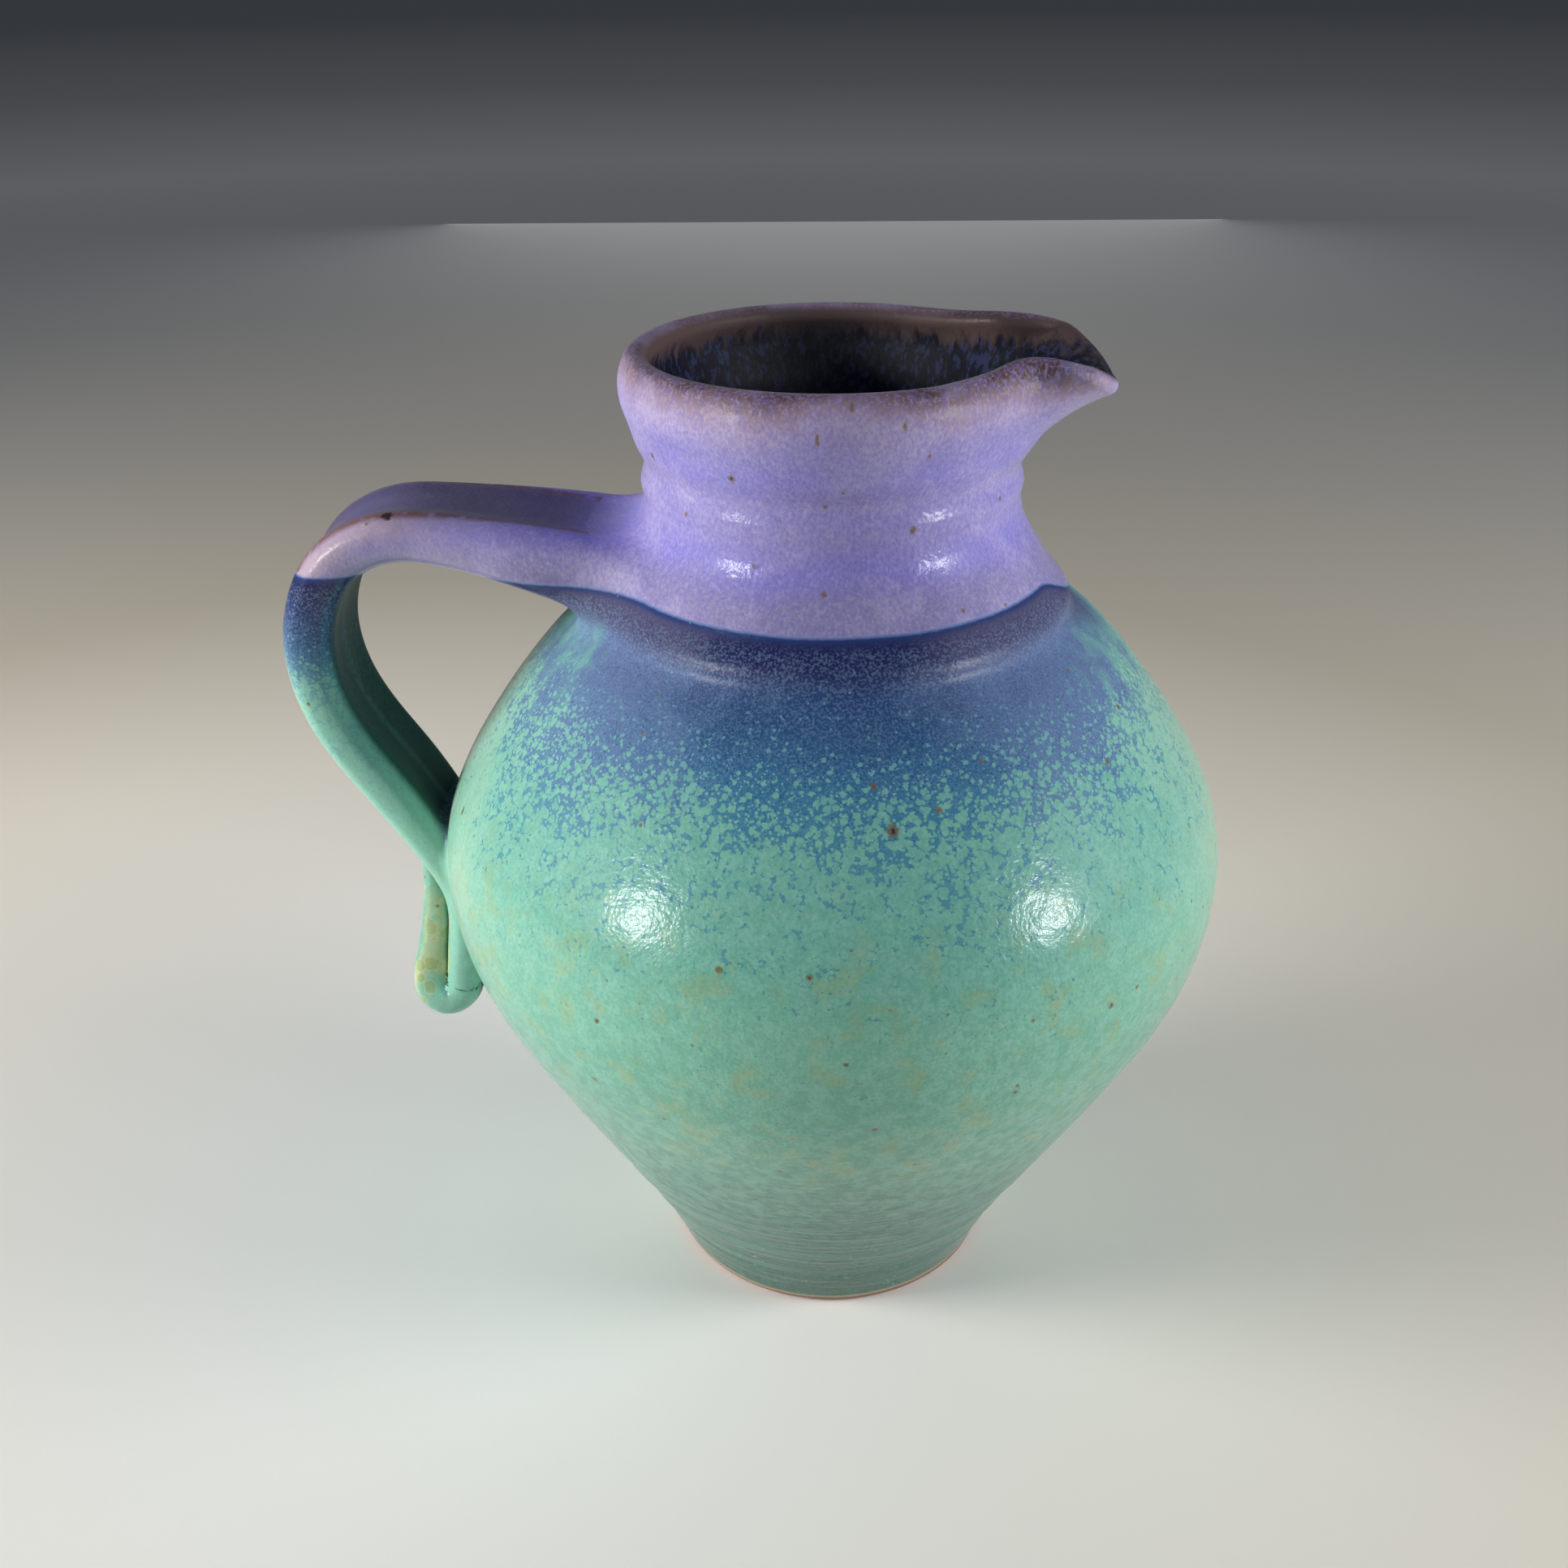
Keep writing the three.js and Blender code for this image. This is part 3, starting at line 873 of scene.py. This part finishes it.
def lavender_glaze(nodes, place, height):
    """The satin lavender of the neck, in soft level bands."""
    drift = 8 * (nodes.noise(place, 18, 2, offset=9) - 0.5)
    base = nodes.ramp(height + drift, 188, 244, [
        (190, MAUVE), (195, MAUVE), (201, BLUE_LAVENDER), (209, LAVENDER), (216, LAVENDER),
        (221, BLUE_LAVENDER), (228, LAVENDER), (232.5, PINK_LAVENDER), (236, TAN_PINK),
        (239, RIM_BROWN)])
    cloud = nodes.step(nodes.noise(place, 16, 3, 0.6, offset=15), 0.48, 0.66)
    base = nodes.mix(0.35 * cloud, base, PALE_GRAIN)
    grain = nodes.step(nodes.noise(place, 0.7, 2, 0.65, offset=13, stretch=1.5), 0.42, 0.60)
    base = nodes.mix(0.44 * grain, base, VIOLET_GRAIN)
    pale = nodes.step(nodes.noise(place, 0.8, 2, 0.65, offset=17, stretch=1.4), 0.50, 0.64)
    return nodes.mix(0.26 * pale, base, PALE_GRAIN)


def overlap_glaze(nodes, place, depth, broad, haze):
    """The blue band, greyed by haze and scum, with pale specks and small dark pits."""
    settled = nodes.step(depth, 3, 12)
    blue = blue_glaze(nodes, depth + 10 * broad * settled)
    blue = nodes.mix(0.70 * haze * settled, blue, HAZE)
    scum = haze * nodes.step(depth, 0.6, 2) * nodes.step(depth, 11, 4)
    blue = nodes.mix(0.5 * scum, blue, SCUM_MAUVE)
    speck = nodes.step(nodes.noise(place, 0.55, 2, 0.6, offset=37), 0.46, 0.60)
    blue = nodes.mix(0.36 * speck * nodes.step(depth, 0.8, 4), blue, SPECK_BLUE)
    pit = nodes.step(nodes.cells(place, 1.2, 39), 0.24, 0.16) * nodes.step(depth, 0.8, 2)
    return nodes.mix(0.4 * pit, blue, NAVY)


def lower_glaze(nodes, place, pot, height, depth):
    """Everything under the line: blue that breaks through flakes into the green. On the pot
    the blue is hazy in front of its sides and washed away behind them, and the green has a
    painted sheen towards its sides."""
    broad = nodes.noise(place, 20, 3, 0.6, offset=31) - 0.5
    azimuth = front_angle(nodes, place) + 0.9 * broad
    haze = pot * nodes.step(azimuth, 0.2, 0.8) * nodes.step(azimuth, 1.9, 1.2)
    haze = haze * nodes.step(depth, 46, 24)
    blue = overlap_glaze(nodes, place, depth, broad, haze)
    green = green_glaze(nodes, place, height)
    runs = nodes.noise(place, 5, 3, 0.6, offset=49, stretch=4) - 0.5
    wash = pot * nodes.step(azimuth + 1.4 * runs, 0.95, 1.6) * nodes.step(depth, 4, 16)
    blue = nodes.mix(0.75 * wash, blue, green)
    # Painted sheen: the green turns paler towards the pot's sides.
    green = nodes.mix(0.35 * pot * nodes.step(azimuth, 0.7, 1.6), green, SIDE_SHEEN_GREEN)
    flakes = flakes_over(nodes, place, depth + 2 + 5 * wash + 16 * broad)
    flake_colour = nodes.mix(nodes.step(depth + 10 * wash, 10, 32), FLAKE_PALE, green)
    below = nodes.mix(flakes, blue, flake_colour)
    return nodes.mix(0.42 * throwing_streaks(nodes, place, height), below, STREAK)


def outer_glaze(nodes, place, pot):
    """All the dips together, as the outside of every piece wears them; pot is 1 on the pot
    itself and 0 on the handle."""
    height = nodes.part(place, "Z")
    waver = 0.5 * (nodes.noise(place, 24, 1, offset=21) - 0.5)
    waver = waver + 0.3 * (nodes.noise(place, 1.6, 2, offset=23) - 0.5)
    depth = LINE_HEIGHT - line_drop(nodes, place) - height + waver
    below = lower_glaze(nodes, place, pot, height, depth)
    above = lavender_glaze(nodes, place, height)
    colour = nodes.mix(nodes.step(depth, -0.25, 0.25), above, below)
    colour = nodes.mix(0.7 * nodes.step(height, 3.4, 2.2), colour, CREAM)
    bare = nodes.step(height + 0.5 * (waver - 0.2), 2.1, 1.5)
    return nodes.mix(bare, colour, CLAY), depth, height


def scattered_iron(nodes, place, colour):
    """Fine rust freckles all over."""
    freckle = nodes.cells(place, 10.5, 3)
    return nodes.mix(0.8 * nodes.step(freckle, 0.062, 0.035), colour, RUST)


def finished_glaze(nodes, place, colour, roughness, streaks=None):
    """A satin stoneware surface under the colour, with fine peel and broad unevenness."""
    peel = nodes.noise(place, 0.9, 2, 0.55, offset=51)
    broad = nodes.noise(place, 5, 2, 0.5, offset=53)
    relief = 0.085 * peel + 0.22 * broad
    if streaks is not None:
        relief = relief + 0.10 * streaks
    normal = nodes.node("ShaderNodeBump", {},
                        {"Height": relief * MM, "Distance": 1.0, "Strength": 1.0})
    return nodes.finished("ShaderNodeBsdfPrincipled", {
        "Base Color": colour, "Roughness": roughness, "Normal": normal, "IOR": 1.5,
        "Sheen Weight": 0.06, "Sheen Roughness": 0.5})


def inner_glaze(nodes, place, height, outside, within):
    """Inside: brown lip, then ragged runs into a mottled dark navy, with painted shade
    that turns it nearly black deeper down.
    """
    runs = nodes.noise(place, 2.6, 4, 0.7, offset=61, stretch=3.5)
    edge = height - 232.5 + 13 * (runs - 0.5) - 2.5 * nodes.step(nodes.part(place, "X"), 28, 42)
    mottle = nodes.step(nodes.noise(place, 1.6, 3, 0.65, offset=63, stretch=2), 0.48, 0.62)
    navy = nodes.mix(mottle * nodes.step(height, 210, 224), INSIDE_NAVY, INSIDE_BLUE)
    # Painted shade: deeper inside, the navy goes nearly black.
    navy = nodes.mix(nodes.step(height, 216, 196), navy, INSIDE_SHADE)
    inside = nodes.mix(nodes.step(edge, -2.5, 2.5), navy, INSIDE_BROWN)
    return nodes.mix(within, outside, inside)


class StrapMarks:
    """Where on the handle a place is: beside the strap's middle line, off it, and along it."""

    def __init__(self, nodes):
        self.across = abs(nodes.mark("across"))
        self.off = nodes.mark("off")
        self.along = nodes.mark("along")


def painted_top_shade(nodes, strap, colour, lavender):
    """Painted shade in mauve on the flat top of the handle and under its root, in the lavender
    only.
    """
    top = nodes.step(strap.off, 3.0, 5.4) * nodes.step(strap.across, 13.5, 9.5)
    top = top * nodes.step(strap.along, 9, 26)
    root = nodes.step(strap.off, 2, -3) * nodes.step(strap.along, 6, 12)
    top = top + 0.45 * root * nodes.step(strap.along, 40, 20)
    return nodes.mix(0.72 * top * lavender, colour, TOP_SHADE_MAUVE)


def pot_roughness(nodes, place, satin, depth, height, within):
    """Duller on the navy, in the shade of the handle, at the lip and inside."""
    dull = 0.7 * nodes.step(depth, -1, 2) * nodes.step(depth, 24, 12)
    shaded = nodes.step(nodes.part(place, "X"), -40, -46) * nodes.step(depth, 20, 10)
    dull = dull + 1.2 * shaded + 0.6 * nodes.step(height, 229, 234)
    return satin + 0.22 * dull + 0.38 * within * nodes.step(height, 239, 234)


def pot_glaze(name, spots, satin):
    """The glaze of the belly, the seam and the neck."""
    nodes = Nodes(name)
    place = nodes.place()
    colour, depth, height = outer_glaze(nodes, place, 1)
    colour = scattered_iron(nodes, place, colour)
    near = spot_distance(nodes, place, spots)
    near = near + 1.1 * (nodes.noise(place, 0.8, 2, 0.6, offset=81) - 0.5)
    colour = nodes.mix(0.8 * nodes.step(near, 1.2, 0.6), colour, RUST)
    colour = nodes.mix(0.8 * nodes.step(near, 0.42, 0.2), colour, IRON)
    within = nodes.step(nodes.mark("inside"), 0.35, 0.75)
    colour = painted_top_shade(nodes, StrapMarks(nodes), colour, nodes.step(depth, 0.4, -0.4))
    colour = inner_glaze(nodes, place, height, colour, within)
    roughness = pot_roughness(nodes, place, satin, depth, height, within)
    return finished_glaze(nodes, place, colour, roughness, throwing_streaks(nodes, place, height))


def worn_edges_and_painted_light(nodes, place, strap, colour, depth, lavender):
    """Paler on the strap's sides, with painted light on their green, pink round its bend,
    brown or cream along its ridges.
    """
    side = nodes.step(strap.across, 9, 13)
    front = side * lavender * nodes.step(strap.along, 24, 50)
    colour = nodes.mix(0.35 * front, colour, FRONT_MAUVE)
    bend = nodes.step(strap.along, 46, 62) * nodes.step(strap.across, 9, 14.5)
    bend = bend * nodes.step(strap.off, -1, 3.5)
    colour = nodes.mix(0.45 * bend * lavender, colour, CORNER_PINK)
    # Painted light: the strap's sides go paler where the glaze is green.
    colour = nodes.mix(0.55 * side * nodes.step(depth, 16, 34), colour, PALE_GREEN)
    ridge = nodes.step(abs(strap.across - 11.8), 2.1, 0.2) * nodes.step(strap.off, 2.6, 4.0)
    ridge = ridge * nodes.step(nodes.noise(place, 6, 3, 0.6, offset=71), 0.32, 0.52)
    colour = nodes.mix(0.8 * ridge * lavender, colour, RIDGE_BROWN)
    return nodes.mix(0.8 * ridge * nodes.step(depth, 16, 30), colour, RIDGE_CREAM)


def tail_patches(nodes, place, strap, colour):
    """Round yellow patches with cream rims on the folded tail, and a pale bead behind it."""
    cell = nodes.cells(place, 4.2, 73) + 0.4 * (nodes.noise(place, 1.5, 2, offset=75) - 0.5)
    folded = nodes.step(strap.off, 4.6, 6.0)
    colour = nodes.mix(0.6 * folded * nodes.step(cell, 0.46, 0.38), colour, YELLOW_GREEN)
    colour = nodes.mix(0.6 * folded * nodes.step(abs(cell - 0.44), 0.06, 0.01), colour,
                       RIDGE_CREAM)
    crumbs = nodes.step(nodes.noise(place, 0.9, 2, 0.6), 0.4, 0.6)
    return nodes.mix(0.6 * nodes.step(strap.off, -3.6, -5.0) * crumbs, colour, SPECK_BLUE)


def clay_glaze(name, patches):
    """The glaze of the handle and its tail: the same dips, worn along the edges, with painted
    shade on its top and inner face and painted light on its green sides.
    """
    nodes = Nodes(name)
    place = nodes.place()
    colour, depth, height = outer_glaze(nodes, place, 0)
    strap = StrapMarks(nodes)
    lavender = nodes.step(depth, 0.4, -0.4)
    colour = painted_top_shade(nodes, strap, colour, lavender)
    colour = worn_edges_and_painted_light(nodes, place, strap, colour, depth, lavender)
    # Painted shade on the strap's inner face towards the pot, a little lighter along its middle;
    # that face is also rougher.
    shaded_palm = nodes.step(strap.off, -2.6, -4.6) * nodes.step(strap.across, 13.6, 11.0)
    spine = 0.2 * nodes.step(strap.across, 2.2, 0.3)
    colour = nodes.mix((0.85 - spine) * shaded_palm * nodes.step(depth, -1, 4), colour, PAINTED_SHADE_GREEN)
    if patches:
        colour = tail_patches(nodes, place, strap, colour)
    colour = scattered_iron(nodes, place, colour)
    spot = nodes.distance(place, HANDLE_SPOT)
    spot = spot + 1.6 * (nodes.noise(place, 1.2, 2, 0.6, offset=83) - 0.5)
    colour = nodes.mix(0.9 * nodes.step(spot, 1.7, 1.1), colour, IRON)
    return finished_glaze(nodes, place, colour, HANDLE_SATIN + 0.3 * shaded_palm)


# ---- The pitcher ----

def glazed_pot():
    """The thrown pieces."""
    belly_glaze = pot_glaze("belly_glaze", SPOTS, SATIN)
    neck_glaze = pot_glaze("neck_glaze", NECK_SPOTS, NECK_SATIN)
    seam_glaze = pot_glaze("seam_glaze", SPOTS[:3], SATIN)
    finish_piece(belly_piece(belly_glaze), "belly")
    finish_piece(neck_coil_piece(seam_glaze), "neck_luting_coil")
    finish_piece(neck_piece(neck_glaze), "neck")
    return neck_glaze


def glazed_handle(neck_glaze):
    """The strap, its tail, and the clay worked in at both its joints."""
    handle_glaze = clay_glaze("handle_glaze", patches=False)
    tail_glaze = clay_glaze("tail_glaze", patches=True)
    handle = clay_piece("handle_strap", handle_solid, "handle", 3, handle_glaze)
    finish_piece(handle, "handle")
    tail = clay_piece("handle_tail_curl", tail_solid, "handle_tail", 7, tail_glaze)
    finish_piece(tail, "handle_tail")
    top_clay = clay_piece("handle_top_fillet", top_clay_solid, "handle_top_coil", 12, neck_glaze)
    finish_piece(top_clay, "handle_top_coil")
    bead = clay_piece("handle_bottom_bead", bead_solid, "handle_bottom_coil", 8, tail_glaze)
    finish_piece(bead, "handle_bottom_coil")


glazed_handle(glazed_pot())


# ---- Floor, light and camera ----
PITCHER_MIDDLE = Vector((0, 0, cad_high.z / 2))
# The paper's painted pool of light and its painted glow, by distance from the pool's middle in
# metres.
PAINTED_POOL_MIDDLE = (-0.10, 0.0, 0.0)
PAPER_PAINTED_POOL = [(0.0, paint("fafafa")), (0.3, paint("e6dfd0")), (0.5, paint("c0b8a6")),
                 (0.8, paint("b2aea6")), (1.4, paint("a6a7a6")), (2.6, paint("8d8e90")),
                 (5.0, paint("7c7d7e"))]
PAPER_PAINTED_GLOW = [(0.3, paint("393838")), (0.7, paint("2b2a28")), (1.2, paint("2b2b2a")),
              (2.2, paint("525354")), (3.4, paint("3e3f3f")), (6.0, paint("2c2d2d"))]
PAPER_WHITE = paint("ffffff")
PAPER_HALF = 9.0
ROOM_GREY = paint("343b48")
WARM_WHITE = (1.0, 0.985, 0.95)
COOL_WHITE = (0.6, 0.75, 1.0)


def painted_light_paper():
    """A pale sheet with a painted pool of light that darkens far from the pitcher, and a
    painted glow.
    """
    nodes = Nodes("studio_paper")
    where = nodes.node("ShaderNodeTexCoord", output="Object")
    distance = nodes.distance(where, PAINTED_POOL_MIDDLE)
    grain = nodes.node("ShaderNodeTexNoise", {}, {"Vector": where, "Scale": 900.0})
    colour = nodes.ramp(distance, 0, 5, PAPER_PAINTED_POOL)
    return nodes.finished("ShaderNodeBsdfPrincipled", {
        "Base Color": nodes.mix(0.04 * grain, colour, PAPER_WHITE), "Roughness": 0.7,
        "Specular IOR Level": 0.2, "Emission Color": nodes.ramp(distance, 0, 6, PAPER_PAINTED_GLOW),
        "Emission Strength": 1.0})


def studio_floor():
    half = PAPER_HALF
    mesh = bpy.data.meshes.new("studio_floor")
    mesh.from_pydata([(-half, -half, 0), (half, -half, 0), (half, half, 0), (-half, half, 0)],
                     [], [(0, 1, 2, 3)])
    mesh.materials.append(painted_light_paper())
    floor = bpy.data.objects.new("studio_floor", mesh)
    bpy.context.scene.collection.objects.link(floor)


def from_pitcher(azimuth, elevation, distance):
    """A place seen from the middle of the pitcher, in degrees and metres."""
    turn, rise = math.radians(azimuth), math.radians(elevation)
    level = math.cos(rise)
    way = Vector((level * math.cos(turn), level * math.sin(turn), math.sin(rise)))
    return PITCHER_MIDDLE + distance * way


def soft_light(name, place, size, power, colour=(1, 1, 1), glint=False):
    """A square panel that faces the pitcher. A glint makes only highlights, and the others
    make none."""
    place = from_pitcher(*place)
    lamp = bpy.data.lights.new(name, "AREA")
    lamp.size = size
    lamp.energy = power
    lamp.color = colour
    holder = bpy.data.objects.new(name, lamp)
    holder.visible_glossy = glint
    holder.visible_diffuse = not glint
    holder.location = place
    holder.rotation_mode = "QUATERNION"
    holder.rotation_quaternion = (PITCHER_MIDDLE - place).to_track_quat("-Z", "Y")
    bpy.context.scene.collection.objects.link(holder)


def studio_lights():
    """A soft panel at each side, a small lamp by each for the highlights, and dim fills."""
    soft_light("left_panel", (-169, 15, 1.2), 0.5, 16.5, WARM_WHITE)
    soft_light("right_panel", (-7, 15, 1.2), 0.5, 12.5)
    soft_light("back_fill", (90, 10, 1.6), 0.9, 2.0)
    soft_light("front_fill", (-90, 20, 1.6), 0.9, 1.6, COOL_WHITE)
    soft_light("left_lamp", (-145, 17, 1.3), 0.12, 4.6, glint=True)
    soft_light("right_lamp", (-27, 14, 1.3), 0.12, 3.9, glint=True)
    world = bpy.data.worlds.new("studio")
    world.use_nodes = True
    background = world.node_tree.nodes["Background"]
    background.inputs["Color"].default_value = ROOM_GREY
    background.inputs["Strength"].default_value = 1.0
    bpy.context.scene.world = world


CAMERA_PITCH = math.radians(27.85)  # looking down
CAMERA_YAW = math.radians(-1.82)
CAMERA_ROLL = math.radians(-0.65)
CAMERA_BACK = 362.06  # in front of the pitcher's axis, in drawn millimetres
CAMERA_HEIGHT = 322.18
CAMERA_LENS = 38.05
CAMERA_SENSOR = 36


def studio_camera():
    """The camera stands in front and looks down on the pitcher."""
    level_reach = math.cos(CAMERA_PITCH)
    forward = Vector((math.sin(CAMERA_YAW) * level_reach, math.cos(CAMERA_YAW) * level_reach,
                      -math.sin(CAMERA_PITCH)))
    level = Vector((math.cos(CAMERA_YAW), -math.sin(CAMERA_YAW), 0))
    upright = level.cross(forward)
    right = math.cos(CAMERA_ROLL) * level + math.sin(CAMERA_ROLL) * upright
    up = math.cos(CAMERA_ROLL) * upright - math.sin(CAMERA_ROLL) * level
    lens = bpy.data.cameras.new("studio_camera")
    lens.lens = CAMERA_LENS
    lens.sensor_width = CAMERA_SENSOR
    lens.clip_start = 0.01
    camera = bpy.data.objects.new("studio_camera", lens)
    camera.matrix_world = Matrix((
        (right.x, up.x, -forward.x, 0.0),
        (right.y, up.y, -forward.y, -CAMERA_BACK * MM),
        (right.z, up.z, -forward.z, CAMERA_HEIGHT * MM),
        (0, 0, 0, 1),
    ))
    bpy.context.scene.collection.objects.link(camera)
    bpy.context.scene.camera = camera


studio_floor()
studio_lights()
studio_camera()
bpy.context.scene.view_settings.view_transform = "Standard"
